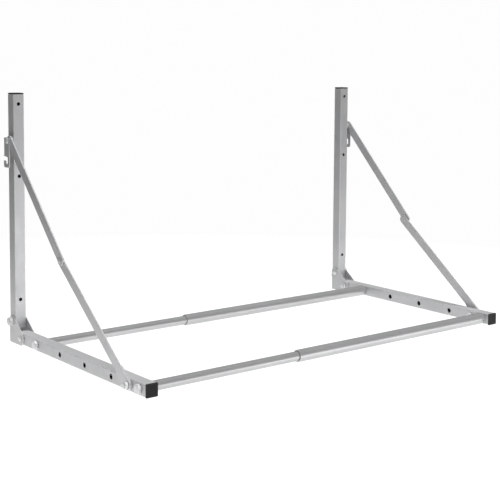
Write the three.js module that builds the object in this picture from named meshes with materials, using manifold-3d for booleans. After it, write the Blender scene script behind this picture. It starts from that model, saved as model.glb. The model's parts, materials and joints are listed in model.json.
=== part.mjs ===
// Wall-mounted, folding tyre rack: two wall uprights carry two arms that fold up on pivots, a jointed
// brace holds each arm level, and two telescoping rods join the arms and carry the tyres.
// Millimetres. +X right, +Y towards the wall, +Z up. The wall is the plane y = 0, the undersides of
// the arms are at z = 0, and x = 0 is half way between the two sides.

import * as THREE from "three";
import { mergeVertices } from "three/addons/utils/BufferGeometryUtils.js";
import Module from "manifold-3d";

const wasm = await Module();
wasm.setup();

// ---- Driving dimensions -----------------------------------------------------------------------

const OVERALL_WIDTH = 986; // between the outer faces of the two sides' tubes
const OVERALL_HEIGHT = 546;
const OVERALL_DEPTH = 547;

const TUBE = 25.4; // square tube of the uprights and arms
const TUBE_WALL = 1.5;
const TUBE_CORNER = 1.5;
const MID_TUBE = TUBE / 2;
const CLEARANCE = 0.3; // between neighbouring pieces
const CUT_OVERSHOOT = 1; // of a cutter past the faces it cuts through
const LEAST_CORNER = 1; // radius inside a tube

const CAP_FLANGE = 3;
const CAP_SKIRT = 12;
const CAP_SKIRT_WALL = 1.8;
const ARM_CAP_PROUD = 0.8; // of its flange past each side of the arm

const PLATE = 2; // pivot bracket, hook bracket and doubler sheet
const BRACE_THICKNESS = 3;
const BRACE_WIDTH = 21;
const BRACE_OFFSET = 3; // of a bar's middle line from its pivots, square to the bar
const UPPER_BRACE_PAST_TOP = 8;
const UPPER_BRACE_PAST_KNEE = 12.8;
const BRACE_OVERLAP = 14; // of each brace bar past the knee rivet
const KNEE_SAG = 20; // of the knee below the straight line between the brace's ends

const UPRIGHT_FOOT = 30; // height of the upright's lower end
const SCREW_HOLE_RADIUS = 4;
const SCREW_HOLES_BELOW_TOP = [24, 181, 453];

const ARM_REAR = 38; // distance of the arm's rear end from the wall
const REAR_ROD = 120.5; // distance of the rear rod from the wall
const HOLE_PITCH = 100.5;
const SPARE_HOLES = 3; // between the two rods
const SPARE_HOLE_RADIUS = 5.5;

// Pivots and fixings of each side, as [distance from the wall, height].
const ARM_PIVOT = [50, MID_TUBE];
const BRACKET_FIXING = [MID_TUBE, 44.5];
const BRACE_TOP = [17, 443];
const BRACE_FOOT = [488, MID_TUBE];

const BRACKET_EAR_RADIUS = 12.7;
const BRACKET_NOSE_RADIUS = 15.5;
const BRACKET_FLOOR = ARM_PIVOT[1] - BRACKET_NOSE_RADIUS; // height of its lower edge
const BRACKET_WEB_TOP = UPRIGHT_FOOT - 1;

const HOOK_DEPTH = 26;
const HOOK_BOTTOM = 384;
const HOOK_TOP = 449;
const HOOK_WEB_BOTTOM = 412;
const HOOK_SLOT_REAR = 9.5;
const HOOK_SLOT_FRONT = 18.5;
const HOOK_SLOT_BOTTOM = 391.5;
const HOOK_LIP_TOP = 399;
const HOOK_SLOT_TOP = 407;
const HOOK_MOUTH_FLARE = 2; // rise of the slot's upper edge towards the wall
const HOOK_CORNER = 5;
const HOOK_LIP_CORNER = 3;

const DOUBLER_LENGTH = 45;

const THIN_ROD = { radius: 10, wall: 1.5, length: 740 };
const THICK_ROD = { radius: 12.7, wall: 1.8, length: 575 };
const INSERT_LENGTH = 15;

const M8 = { radius: 4, flats: 13, head: 5.3, nut: 6.5, dome: 6.5, domeHeight: 2.5 };
const M10 = { radius: 5, flats: 17, head: 7, nut: 8, dome: 8, domeHeight: 3 };
const HOLE_CLEARANCE = 0.5; // radial, round every shank
const THREAD_STANDOUT = 3; // of a bolt's tip past its nut
const FOOT_BOLT_STANDOUT = 5;
const SPACER_RADIUS = 8;
const RIVET_RADIUS = 3;
const RIVET_HEAD_RADIUS = 6.5;
const RIVET_HEAD = 1.2;

// A round head's outline, as shares of its radius and its rise.
const DOME_PROFILE = [[0, 0], [1, 0], [0.9, 0.5], [0.55, 0.88], [0, 1]];

const ROUND_STEPS = 12; // of a full circle, each drawn as two chords
const HOLE_SIDES = 14;
const CORNER_STEPS = 1;
const OUTLINE_STEPS = 4;

// ---- Layers outboard of the tubes' outer faces --------------------------------------------------

// Each layer is a [near, far] span of distances outboard of the outer face of upright and arm.
const DOUBLER_LAYER = [CLEARANCE, CLEARANCE + PLATE];
const LOWER_BRACE_LAYER = nextLayer(DOUBLER_LAYER, BRACE_THICKNESS);
const UPPER_BRACE_LAYER = nextLayer(LOWER_BRACE_LAYER, BRACE_THICKNESS);
const HOOK_LAYER = nextLayer(UPPER_BRACE_LAYER, PLATE);
const BRACKET_OUTER_LAYER = DOUBLER_LAYER;
const BRACKET_INNER_LAYER = [-TUBE - CLEARANCE - PLATE, -TUBE - CLEARANCE];

function nextLayer([, far], thickness) {
  return [far + CLEARANCE, far + CLEARANCE + thickness];
}

// ---- Materials ----------------------------------------------------------------------------------

const COATED_STEEL = { color: 0xb4b6b8, roughness: 0.45, metalness: 0.6 };
const ROD_STEEL = { color: 0xc2c4c6, roughness: 0.3, metalness: 0.8 };
const ZINC = { color: 0xd2d4d6, roughness: 0.3, metalness: 0.95 };
const BLACK_PLASTIC = { color: 0x1b1b1c, roughness: 0.6, metalness: 0 };

// ---- Solids -------------------------------------------------------------------------------------

/** A closed geometry as a manifold-3d solid. */
function solid(geometry) {
  const bare = geometry.clone();
  bare.deleteAttribute("normal");
  bare.deleteAttribute("uv");
  const merged = mergeVertices(bare);
  return new wasm.Manifold(
    new wasm.Mesh({
      numProp: 3,
      vertProperties: Float32Array.from(merged.attributes.position.array),
      triVerts: Uint32Array.from(merged.index.array),
    }),
  );
}

/** A manifold-3d solid as a geometry with flat-shaded faces. */
function geometryOf(made) {
  const { vertProperties, triVerts } = made.getMesh();
  const indexed = new THREE.BufferGeometry();
  indexed.setAttribute("position", new THREE.BufferAttribute(vertProperties, 3));
  indexed.setIndex(new THREE.BufferAttribute(triVerts, 1));
  const flat = indexed.toNonIndexed();
  flat.computeVertexNormals();
  return flat;
}

function join(...geometries) {
  return geometryOf(geometries.map(solid).reduce((whole, next) => whole.add(next)));
}

function cut(geometry, cutters) {
  return geometryOf(
    cutters.map(solid).reduce((left, cutter) => left.subtract(cutter), solid(geometry)),
  );
}

// ---- Shapes -------------------------------------------------------------------------------------

// Every piece of a side is drawn in that side's own view: first coordinate the distance from the
// wall, second the height, third the distance outboard of the tubes' outer faces.

/** A flat outline pressed out between two outboard distances. */
function sheet(shape, [near, far]) {
  const geometry = new THREE.ExtrudeGeometry(shape, {
    depth: far - near,
    bevelEnabled: false,
    curveSegments: OUTLINE_STEPS,
  });
  return geometry.translate(0, 0, near);
}

/** A span made long enough to cut clean through what fills it. */
function past([near, far]) {
  return [near - CUT_OVERSHOOT, far + CUT_OVERSHOOT];
}

/** A cylinder or prism that runs outboard at a point of the side view. */
function pin([distance, height], radius, [near, far], sides = HOLE_SIDES) {
  const geometry = new THREE.CylinderGeometry(radius, radius, far - near, sides);
  return geometry.rotateX(Math.PI / 2).translate(distance, height, (near + far) / 2);
}

/** A round pipe that runs outboard, with its bore open at both ends. */
function pipe(at, radius, bore, span) {
  const shape = new THREE.Shape().absarc(0, 0, radius, 0, Math.PI * 2);
  shape.holes.push(new THREE.Path().absarc(0, 0, bore, 0, Math.PI * 2, true));
  const geometry = new THREE.ExtrudeGeometry(shape, {
    depth: span[1] - span[0],
    bevelEnabled: false,
    curveSegments: ROUND_STEPS,
  });
  return geometry.translate(at[0], at[1], span[0]);
}

/** A square with rounded corners, centred on the origin. */
function roundedSquare(Outline, size, radius) {
  const reach = size / 2 - radius;
  const outline = new Outline();
  outline.absarc(reach, reach, radius, 0, Math.PI / 2);
  outline.absarc(-reach, reach, radius, Math.PI / 2, Math.PI);
  outline.absarc(-reach, -reach, radius, Math.PI, Math.PI * 1.5);
  outline.absarc(reach, -reach, radius, Math.PI * 1.5, Math.PI * 2);
  outline.closePath();
  return outline;
}

/** A square pipe or, with no wall given, a square bar, standing from height 0 to its length. */
function squareTube(size, length, wall, corner) {
  const shape = roundedSquare(THREE.Shape, size, corner);
  if (wall) {
    shape.holes.push(roundedSquare(THREE.Path, size - 2 * wall, Math.max(corner - wall, LEAST_CORNER)));
  }
  const geometry = new THREE.ExtrudeGeometry(shape, {
    depth: length,
    bevelEnabled: false,
    curveSegments: CORNER_STEPS,
  });
  return geometry.rotateX(-Math.PI / 2);
}

/** A strap with round ends between two points of the side view, past each by its own overlap. */
function strap(from, to, width, overlapFrom, overlapTo, layer) {
  const along = new THREE.Vector2(to[0] - from[0], to[1] - from[1]);
  const radius = width / 2;
  const shape = new THREE.Shape();
  shape.absarc(along.length() + overlapTo - radius, 0, radius, -Math.PI / 2, Math.PI / 2);
  shape.absarc(radius - overlapFrom, 0, radius, Math.PI / 2, Math.PI * 1.5);
  shape.closePath();
  return sheet(shape, layer).rotateZ(along.angle()).translate(from[0], from[1], 0);
}

/** The angle at which a straight flank leaves one circle to touch another, on its left side. */
function tangentAngle(from, fromRadius, to, toRadius) {
  const along = new THREE.Vector2(to[0] - from[0], to[1] - from[1]);
  return along.angle() + Math.acos((fromRadius - toRadius) / along.length());
}

function hexagon(at, flats, span) {
  return pin(at, flats / Math.sqrt(3), span, 6);
}

/** A low round dome that stands on a face, outboard or, with direction -1, inboard. */
function dome([distance, height], radius, rise, face, direction = 1) {
  const profile = DOME_PROFILE.map(([r, y]) => new THREE.Vector2(r * radius, y * rise));
  const geometry = new THREE.LatheGeometry(profile, HOLE_SIDES);
  return geometry.rotateX((direction * Math.PI) / 2).translate(distance, height, face);
}

// ---- Fasteners ----------------------------------------------------------------------------------

/** A hexagon bolt whose head stands outboard of the outer face of what it holds. */
function outerHexBolt(at, size, face, tip) {
  const seat = face + CLEARANCE;
  return join(
    hexagon(at, size.flats, [seat, seat + size.head]),
    pin(at, size.radius, [tip, seat + size.head / 2]),
  );
}

/** A round-headed bolt whose dome is inboard and whose tip stands outboard. */
function innerDomeBolt(at, size, face, tip) {
  const seat = face - CLEARANCE;
  return join(
    dome(at, size.dome, size.domeHeight, seat, -1),
    pin(at, size.radius, [seat - size.domeHeight / 2, tip]),
  );
}

/** A hexagon bolt whose head is inboard and whose tip stands outboard. */
function innerHexBolt(at, size, face, tip) {
  const seat = face - CLEARANCE;
  return join(
    hexagon(at, size.flats, [seat - size.head, seat]),
    pin(at, size.radius, [seat - size.head / 2, tip]),
  );
}

/** A round-headed bolt whose dome stands outboard of the outer face of what it holds. */
function domeBolt(at, size, face, tip) {
  const seat = face + CLEARANCE;
  return join(
    dome(at, size.dome, size.domeHeight, seat),
    pin(at, size.radius, [tip, seat + size.domeHeight / 2]),
  );
}

function hexNut(at, size, span) {
  return cut(hexagon(at, size.flats, span), [
    pin(at, size.radius + HOLE_CLEARANCE, past(span)),
  ]);
}

function outerNutSpan(face, size) {
  return [face + CLEARANCE, face + CLEARANCE + size.nut];
}

function innerNutSpan(face, size) {
  return [face - CLEARANCE - size.nut, face - CLEARANCE];
}

// ---- Linkage ------------------------------------------------------------------------------------

/** The knee of the brace, sagging below the middle of the line between its ends. */
function kneePoint() {
  const top = new THREE.Vector2(...BRACE_TOP);
  const foot = new THREE.Vector2(...BRACE_FOOT);
  const along = foot.clone().sub(top).normalize();
  const middle = top.add(foot).multiplyScalar(0.5);
  return [middle.x + along.y * KNEE_SAG, middle.y - along.x * KNEE_SAG];
}

const KNEE = kneePoint();

// ---- Pieces of one side -------------------------------------------------------------------------

const TUBE_SPAN = [-TUBE, 0];

/** Round cutters that pass through all of a span. */
function throughHoles(points, radius, span = TUBE_SPAN) {
  return points.map((point) => pin(point, radius, past(span)));
}

function uprightTube() {
  const tubeTop = OVERALL_HEIGHT - CAP_FLANGE - CLEARANCE;
  const tube = squareTube(TUBE, tubeTop - UPRIGHT_FOOT, TUBE_WALL, TUBE_CORNER);
  tube.translate(MID_TUBE, UPRIGHT_FOOT, -MID_TUBE);
  const drillLength = TUBE + 2 * CUT_OVERSHOOT;
  const screwHoles = SCREW_HOLES_BELOW_TOP.map((drop) =>
    new THREE.CylinderGeometry(SCREW_HOLE_RADIUS, SCREW_HOLE_RADIUS, drillLength, HOLE_SIDES)
      .rotateZ(Math.PI / 2)
      .translate(MID_TUBE, OVERALL_HEIGHT - drop, -MID_TUBE),
  );
  return cut(tube, [
    ...screwHoles,
    ...throughHoles([BRACE_TOP], M8.radius + HOLE_CLEARANCE, [-TUBE_WALL, 0]),
    ...throughHoles([BRACKET_FIXING], M10.radius + HOLE_CLEARANCE),
  ]);
}

/** A plug with a flange on the end of its tube and a hollow skirt inside it, standing upright. */
function capPlug(proud = 0) {
  const skirtSize = TUBE - 2 * TUBE_WALL - 2 * CLEARANCE;
  const flange = squareTube(TUBE + 2 * proud, CAP_FLANGE, 0, TUBE_CORNER + proud);
  const skirt = squareTube(skirtSize, CAP_SKIRT + CAP_FLANGE / 2, CAP_SKIRT_WALL, TUBE_WALL);
  return join(flange, skirt.translate(0, -CAP_SKIRT, 0));
}

function uprightCap() {
  return capPlug().translate(MID_TUBE, OVERALL_HEIGHT - CAP_FLANGE, -MID_TUBE);
}

function armCap() {
  return capPlug(ARM_CAP_PROUD)
    .rotateZ(-Math.PI / 2)
    .translate(OVERALL_DEPTH - CAP_FLANGE, MID_TUBE, -MID_TUBE);
}

function armTube() {
  const length = OVERALL_DEPTH - CAP_FLANGE - CLEARANCE - ARM_REAR;
  const tube = squareTube(TUBE, length, TUBE_WALL, TUBE_CORNER);
  tube.rotateZ(-Math.PI / 2).translate(ARM_REAR, MID_TUBE, -MID_TUBE);
  const spares = Array.from({ length: SPARE_HOLES }, (_, i) => rodPoint(i + 1));
  return cut(tube, [
    ...throughHoles(spares, SPARE_HOLE_RADIUS),
    ...throughHoles([ARM_PIVOT, BRACE_FOOT], M8.radius + HOLE_CLEARANCE),
    ...throughHoles([REAR_ROD_POINT, FRONT_ROD_POINT], M10.radius + HOLE_CLEARANCE),
  ]);
}

/** A hole of the arm, counted forward from the rear rod's. */
function rodPoint(index) {
  return [REAR_ROD + index * HOLE_PITCH, MID_TUBE];
}

const REAR_ROD_POINT = rodPoint(0);
const FRONT_ROD_POINT = rodPoint(SPARE_HOLES + 1);

/** Side plates that clasp upright and arm, joined by a web behind the arm's rear end. */
function pivotBracket() {
  const plateShape = () => {
    const [earX, earY] = BRACKET_FIXING;
    const [noseX, noseY] = ARM_PIVOT;
    const flank = tangentAngle(
      BRACKET_FIXING,
      BRACKET_EAR_RADIUS,
      ARM_PIVOT,
      BRACKET_NOSE_RADIUS,
    );
    const shape = new THREE.Shape();
    shape.moveTo(0, BRACKET_FLOOR);
    shape.lineTo(0, earY);
    shape.absarc(earX, earY, BRACKET_EAR_RADIUS, Math.PI, flank - Math.PI * 2, true);
    shape.absarc(noseX, noseY, BRACKET_NOSE_RADIUS, flank - Math.PI * 2, -Math.PI / 2, true);
    shape.closePath();
    return shape;
  };
  const web = new THREE.Shape();
  web.moveTo(0, BRACKET_FLOOR);
  web.lineTo(PLATE, BRACKET_FLOOR);
  web.lineTo(PLATE, BRACKET_WEB_TOP);
  web.lineTo(0, BRACKET_WEB_TOP);
  web.closePath();
  const fullWidth = [BRACKET_INNER_LAYER[0], BRACKET_OUTER_LAYER[1]];
  const body = join(
    sheet(plateShape(), BRACKET_OUTER_LAYER),
    sheet(plateShape(), BRACKET_INNER_LAYER),
    sheet(web, fullWidth),
  );
  return cut(body, [
    ...throughHoles([BRACKET_FIXING], M10.radius + HOLE_CLEARANCE, fullWidth),
    ...throughHoles([ARM_PIVOT], M8.radius + HOLE_CLEARANCE, fullWidth),
  ]);
}

/** A plate with a slot that opens to the wall and drops behind a lip, on a web against the wall. */
function hookBracket() {
  const slotRadius = (HOOK_SLOT_FRONT - HOOK_SLOT_REAR) / 2;
  const slotMiddle = HOOK_SLOT_REAR + slotRadius;
  const lipRadius = HOOK_LIP_CORNER;
  const plate = new THREE.Shape();
  plate.moveTo(CLEARANCE, HOOK_TOP);
  plate.lineTo(CLEARANCE, HOOK_SLOT_TOP + HOOK_MOUTH_FLARE);
  plate.lineTo(HOOK_SLOT_REAR, HOOK_SLOT_TOP);
  plate.lineTo(HOOK_SLOT_FRONT - lipRadius, HOOK_SLOT_TOP);
  plate.absarc(
    HOOK_SLOT_FRONT - lipRadius,
    HOOK_SLOT_TOP - lipRadius,
    lipRadius,
    Math.PI / 2,
    0,
    true,
  );
  plate.absarc(slotMiddle, HOOK_SLOT_BOTTOM + slotRadius, slotRadius, 0, -Math.PI, true);
  plate.absarc(HOOK_SLOT_REAR - lipRadius, HOOK_LIP_TOP - lipRadius, lipRadius, 0, Math.PI / 2);
  plate.lineTo(CLEARANCE, HOOK_LIP_TOP);
  plate.absarc(
    CLEARANCE + HOOK_CORNER,
    HOOK_BOTTOM + HOOK_CORNER,
    HOOK_CORNER,
    Math.PI,
    Math.PI * 1.5,
  );
  plate.absarc(
    HOOK_DEPTH - HOOK_CORNER,
    HOOK_BOTTOM + HOOK_CORNER,
    HOOK_CORNER,
    -Math.PI / 2,
    0,
  );
  plate.lineTo(HOOK_DEPTH, HOOK_TOP - HOOK_CORNER);
  plate.absarc(HOOK_DEPTH - HOOK_CORNER, HOOK_TOP - HOOK_CORNER, HOOK_CORNER, 0, Math.PI / 2);
  plate.closePath();

  const web = new THREE.Shape();
  web.moveTo(CLEARANCE, HOOK_WEB_BOTTOM);
  web.lineTo(CLEARANCE + PLATE, HOOK_WEB_BOTTOM);
  web.lineTo(CLEARANCE + PLATE, HOOK_TOP);
  web.lineTo(CLEARANCE, HOOK_TOP);
  web.closePath();
  const body = join(sheet(plate, HOOK_LAYER), sheet(web, [CLEARANCE, HOOK_LAYER[1]]));
  return cut(body, throughHoles([BRACE_TOP], M8.radius + HOLE_CLEARANCE, HOOK_LAYER));
}

function braceHoles(layer, end) {
  return [
    ...throughHoles([end], M8.radius + HOLE_CLEARANCE, layer),
    ...throughHoles([KNEE], RIVET_RADIUS + HOLE_CLEARANCE, layer),
  ];
}

/** A point moved square to the line from an end of the brace to its knee, to that line's left. */
function offsetFrom([distance, height], end) {
  const along = new THREE.Vector2(KNEE[0] - end[0], KNEE[1] - end[1]).setLength(BRACE_OFFSET);
  return [distance - along.y, height + along.x];
}

/** The upper bar. Both of its holes are off its middle line, so that the knee can close. */
function upperBrace() {
  const bar = strap(
    offsetFrom(BRACE_TOP, BRACE_TOP), offsetFrom(KNEE, BRACE_TOP), BRACE_WIDTH,
    UPPER_BRACE_PAST_TOP, UPPER_BRACE_PAST_KNEE, UPPER_BRACE_LAYER,
  );
  return cut(bar, braceHoles(UPPER_BRACE_LAYER, BRACE_TOP));
}

const LOWER_BRACE_END = offsetFrom(KNEE, BRACE_FOOT);

/** The lower bar, whose knee hole is off its middle line. */
function lowerBrace() {
  const bar = strap(
    BRACE_FOOT, LOWER_BRACE_END, BRACE_WIDTH, BRACE_WIDTH / 2, BRACE_OVERLAP, LOWER_BRACE_LAYER,
  );
  return cut(bar, braceHoles(LOWER_BRACE_LAYER, BRACE_FOOT));
}

/** A short strap that stiffens the lower brace at its foot, between it and the arm. */
function braceDoubler() {
  const [distance, height] = LOWER_BRACE_END;
  const reach = new THREE.Vector2(distance - BRACE_FOOT[0], height - BRACE_FOOT[1]);
  reach.setLength(DOUBLER_LENGTH);
  const end = [BRACE_FOOT[0] + reach.x, BRACE_FOOT[1] + reach.y];
  const bar = strap(BRACE_FOOT, end, BRACE_WIDTH, BRACE_WIDTH / 2, 0, DOUBLER_LAYER);
  return cut(bar, throughHoles([BRACE_FOOT], M8.radius + HOLE_CLEARANCE, DOUBLER_LAYER));
}

/** The half of the knee rivet that rides in the upper brace, with the outer head. */
function kneeRivetOuter() {
  const seat = UPPER_BRACE_LAYER[1] + CLEARANCE;
  return join(
    dome(KNEE, RIVET_HEAD_RADIUS, RIVET_HEAD, seat),
    pin(KNEE, RIVET_RADIUS, [UPPER_BRACE_LAYER[0], seat + RIVET_HEAD / 2]),
  );
}

/** The half of the knee rivet that rides in the lower brace, with the inner head. */
function kneeRivetInner() {
  const seat = LOWER_BRACE_LAYER[0] - CLEARANCE;
  return join(
    pin(KNEE, RIVET_HEAD_RADIUS, [CLEARANCE, seat]),
    pin(KNEE, RIVET_RADIUS, [seat - RIVET_HEAD / 2, LOWER_BRACE_LAYER[1]]),
  );
}

function braceTopSpacer() {
  const span = [CLEARANCE, UPPER_BRACE_LAYER[0] - CLEARANCE];
  const bore = throughHoles([BRACE_TOP], M8.radius + HOLE_CLEARANCE, span);
  return cut(pin(BRACE_TOP, SPACER_RADIUS, span), bore);
}

const ARM_INNER_FACE = -TUBE;
const BRACKET_INNER_FACE = BRACKET_INNER_LAYER[0];
const BRACKET_OUTER_FACE = BRACKET_OUTER_LAYER[1];

/** A rod that runs inboard from the arm, the threaded insert in its end and the bolt that holds it. */
function rodParts(at, { radius, wall, length }) {
  const start = ARM_INNER_FACE - CLEARANCE;
  const bore = radius - wall;
  const insertBore = M10.radius + HOLE_CLEARANCE;
  return {
    tube: pipe(at, radius, bore, [start - length, start]),
    insert: pipe(at, bore - CLEARANCE, insertBore, [start - INSERT_LENGTH, start]),
    bolt: outerHexBolt(at, M10, 0, start - INSERT_LENGTH),
  };
}

/** All the pieces of one side, as [name, geometry, finish]. */
function sidePieces(rod) {
  const front = rodParts(FRONT_ROD_POINT, rod);
  const rear = rodParts(REAR_ROD_POINT, rod);
  const bracketNut = outerNutSpan(BRACKET_OUTER_FACE, M10);
  const pivotNut = innerNutSpan(BRACKET_INNER_FACE, M8);
  const topNut = innerNutSpan(-TUBE_WALL, M8); // inside the upright
  const footNut = outerNutSpan(LOWER_BRACE_LAYER[1], M8);
  const bracketTip = bracketNut[1] + THREAD_STANDOUT;
  const footTip = footNut[1] + FOOT_BOLT_STANDOUT;
  const innerTip = (span) => span[0] - THREAD_STANDOUT;
  return [
    ["upright_tube", uprightTube(), COATED_STEEL],
    ["upright_cap", uprightCap(), BLACK_PLASTIC],
    ["pivot_bracket", pivotBracket(), COATED_STEEL],
    ["bracket_bolt", innerDomeBolt(BRACKET_FIXING, M10, BRACKET_INNER_FACE, bracketTip), ZINC],
    ["bracket_nut", hexNut(BRACKET_FIXING, M10, bracketNut), ZINC],
    ["arm_pivot_bolt", domeBolt(ARM_PIVOT, M8, BRACKET_OUTER_FACE, innerTip(pivotNut)), ZINC],
    ["arm_pivot_nut", hexNut(ARM_PIVOT, M8, pivotNut), ZINC],
    ["hook_bracket", hookBracket(), COATED_STEEL],
    ["brace_top_bolt", domeBolt(BRACE_TOP, M8, HOOK_LAYER[1], innerTip(topNut)), ZINC],
    ["brace_top_spacer", braceTopSpacer(), ZINC],
    ["brace_top_nut", hexNut(BRACE_TOP, M8, topNut), ZINC],
    ["upper_brace", upperBrace(), COATED_STEEL],
    ["knee_rivet_outer", kneeRivetOuter(), COATED_STEEL],
    ["lower_brace", lowerBrace(), COATED_STEEL],
    ["knee_rivet_inner", kneeRivetInner(), COATED_STEEL],
    ["brace_doubler", braceDoubler(), COATED_STEEL],
    ["arm_tube", armTube(), COATED_STEEL],
    ["arm_cap", armCap(), BLACK_PLASTIC],
    ["brace_foot_bolt", innerHexBolt(BRACE_FOOT, M8, ARM_INNER_FACE, footTip), ZINC],
    ["brace_foot_nut", hexNut(BRACE_FOOT, M8, footNut), ZINC],
    ["front_rod", front.tube, ROD_STEEL],
    ["front_rod_insert", front.insert, ZINC],
    ["front_rod_bolt", front.bolt, ZINC],
    ["rear_rod", rear.tube, ROD_STEEL],
    ["rear_rod_insert", rear.insert, ZINC],
    ["rear_rod_bolt", rear.bolt, ZINC],
  ];
}

// ---- Assembly -----------------------------------------------------------------------------------

/** One side of the rack, stood at the left end of the rack. */
function side(name, rod) {
  const group = new THREE.Group();
  const forward = new THREE.Vector3(0, -1, 0);
  const up = new THREE.Vector3(0, 0, 1);
  const outboard = new THREE.Vector3(-1, 0, 0);
  group.setRotationFromMatrix(new THREE.Matrix4().makeBasis(forward, up, outboard));
  group.position.x = -OVERALL_WIDTH / 2;
  for (const [piece, geometry, finish] of sidePieces(rod)) {
    const mesh = new THREE.Mesh(geometry, new THREE.MeshStandardMaterial(finish));
    mesh.name = `${name}_${piece}`;
    group.add(mesh);
  }
  return group;
}

const rack = new THREE.Group();
rack.add(side("left", THIN_ROD));

const mirrored = new THREE.Group();
mirrored.scale.x = -1;
mirrored.add(side("right", THICK_ROD));
rack.add(mirrored);

export default rack;
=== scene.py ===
"""The finish of the folding tyre rack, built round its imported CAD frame.

Each CAD node is stood for by a finer piece of the same size in the same place: tubes with rolled
corners and dressed holes, folded sheet brackets, rounded straps, chamfered and threaded fasteners.
Shapes are drawn in a side view of each side of the rack, as (distance from the wall, height,
distance outboard of the tubes' outer faces), in metres.
"""

import json
import math

import bmesh
import bpy
from mathutils import Matrix, Vector
from mathutils.geometry import tessellate_polygon

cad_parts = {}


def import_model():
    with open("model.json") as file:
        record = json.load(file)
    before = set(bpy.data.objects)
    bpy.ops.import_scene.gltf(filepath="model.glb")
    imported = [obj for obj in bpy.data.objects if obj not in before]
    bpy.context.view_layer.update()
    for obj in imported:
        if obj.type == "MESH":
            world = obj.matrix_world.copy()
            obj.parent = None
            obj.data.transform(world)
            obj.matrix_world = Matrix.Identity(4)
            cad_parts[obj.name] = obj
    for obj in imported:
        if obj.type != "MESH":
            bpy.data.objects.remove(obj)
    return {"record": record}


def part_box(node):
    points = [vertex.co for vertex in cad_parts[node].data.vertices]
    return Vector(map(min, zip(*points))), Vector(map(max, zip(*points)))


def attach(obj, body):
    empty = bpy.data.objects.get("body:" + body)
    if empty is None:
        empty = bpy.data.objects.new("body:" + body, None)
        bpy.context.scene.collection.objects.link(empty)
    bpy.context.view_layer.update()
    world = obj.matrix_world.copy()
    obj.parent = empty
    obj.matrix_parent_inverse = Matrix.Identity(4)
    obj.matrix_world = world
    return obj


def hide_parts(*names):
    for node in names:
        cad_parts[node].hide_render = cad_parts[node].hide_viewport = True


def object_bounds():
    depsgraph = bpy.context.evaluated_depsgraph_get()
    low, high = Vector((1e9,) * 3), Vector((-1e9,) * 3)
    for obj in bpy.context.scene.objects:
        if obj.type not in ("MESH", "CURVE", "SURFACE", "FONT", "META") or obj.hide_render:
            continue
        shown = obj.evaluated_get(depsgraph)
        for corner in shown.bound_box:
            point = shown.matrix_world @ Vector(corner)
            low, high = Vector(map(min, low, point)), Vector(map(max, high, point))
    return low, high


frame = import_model()
cad_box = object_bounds()

MM = 0.001

# ---- Sizes that the frame's boxes don't tell ------------------------------------------------------

TUBE_WALL = 1.5 * MM
TUBE_CORNER = 1.5 * MM
TUBE_INNER_CORNER = 1 * MM
CAP_SKIRT = 12 * MM
CAP_SKIRT_WALL = 1.8 * MM
CAP_EDGE = 1.1 * MM
CAP_CROWN = 0.35 * MM
CAP_CROWN_SHARES = (0.75, 0.5, 0.25)  # of the crown's width, where it is modelled
CAP_HOLLOW_CORNER = 1 * MM

SCREW_HOLE_RADIUS = 4 * MM
SCREW_HOLES_BELOW_TOP = [24 * MM, 181 * MM, 453 * MM]
SPARE_HOLES = 3
SPARE_HOLE_RADIUS = 5.5 * MM
HOLE_CLEARANCE = 0.5 * MM

PLATE = 2 * MM
BEND_RADIUS = 3 * MM  # outside of a folded sheet
RELIEF = 0.8 * MM  # slit between a folded web and the plate's free edge beyond it
BRACKET_WEB_TOP = 29 * MM
HOOK_WEB_BOTTOM = 412 * MM

HOOK_SLOT = {"rear": 9.5 * MM, "front": 18.5 * MM, "bottom": 391.5 * MM, "top": 407 * MM}
HOOK_LIP_TOP = 399 * MM
HOOK_MOUTH_FLARE = 2 * MM
HOOK_CORNER = 5 * MM
HOOK_LIP_CORNER = 3 * MM

BRACE_WIDTH = 21 * MM
BRACE_OFFSET = 3 * MM  # of a bar's middle line from its pivots
UPPER_BRACE_PAST_TOP = 8 * MM
UPPER_BRACE_PAST_KNEE = 12.8 * MM
LOWER_BRACE_PAST_KNEE = 14 * MM
DOUBLER_LENGTH = 45 * MM
DIMPLE_FROM_KNEE = 22 * MM
DIMPLE_RADIUS = 2.6 * MM
DIMPLE_DEPTH = 0.9 * MM

ROD_WALLS = {"left": 1.5 * MM, "right": 1.8 * MM}

M8 = {"radius": 4 * MM, "flats": 13 * MM, "pitch": 1.25 * MM, "dome": 2.5 * MM}
M10 = {"radius": 5 * MM, "flats": 17 * MM, "pitch": 1.5 * MM, "dome": 3 * MM}
THREAD_DEPTH_SHARE = 0.6  # of the pitch
HEX_FACE_SHARE = 0.475  # radius of a hexagon's flat face, as a share of its width over flats
HEX_CHAMFER = math.radians(28)
WASHER_FACE = 0.5 * MM
WASHER_FACE_SHARE = 0.47
THREADED_TURNS = 6
THREAD_SHARPNESS = 1.5  # 1 gives straight flanks
NUT_SINK = 0.8 * MM
DOME_FLANK_SHARE = 0.25  # of a dome's rise, below its round part
DOME_EDGE_SHARE = 0.05
RIVET_HEAD = 1.2 * MM
RIVET_RADIUS = 3 * MM
RIVET_EDGE = 0.3 * MM
GAP = 0.3 * MM  # between pieces that touch in the real rack

# How far each hexagon happens to be turned, in degrees
HEX_TURNS = {
    "bracket_nut": 20,
    "arm_pivot_nut": 5,
    "brace_top_nut": 30,
    "brace_foot_bolt": 33,
    "brace_foot_nut": 15,
    "front_rod_bolt": 8,
    "rear_rod_bolt": 27,
}

RIM = 0.4 * MM  # rounding of a sheet's or a tube's cut edge
BRACE_RIM = 0.7 * MM
WEAR_AND_SHEEN_BAND = 1.4 * MM  # how far the wear and painted highlight of an edge reach into a face
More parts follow.
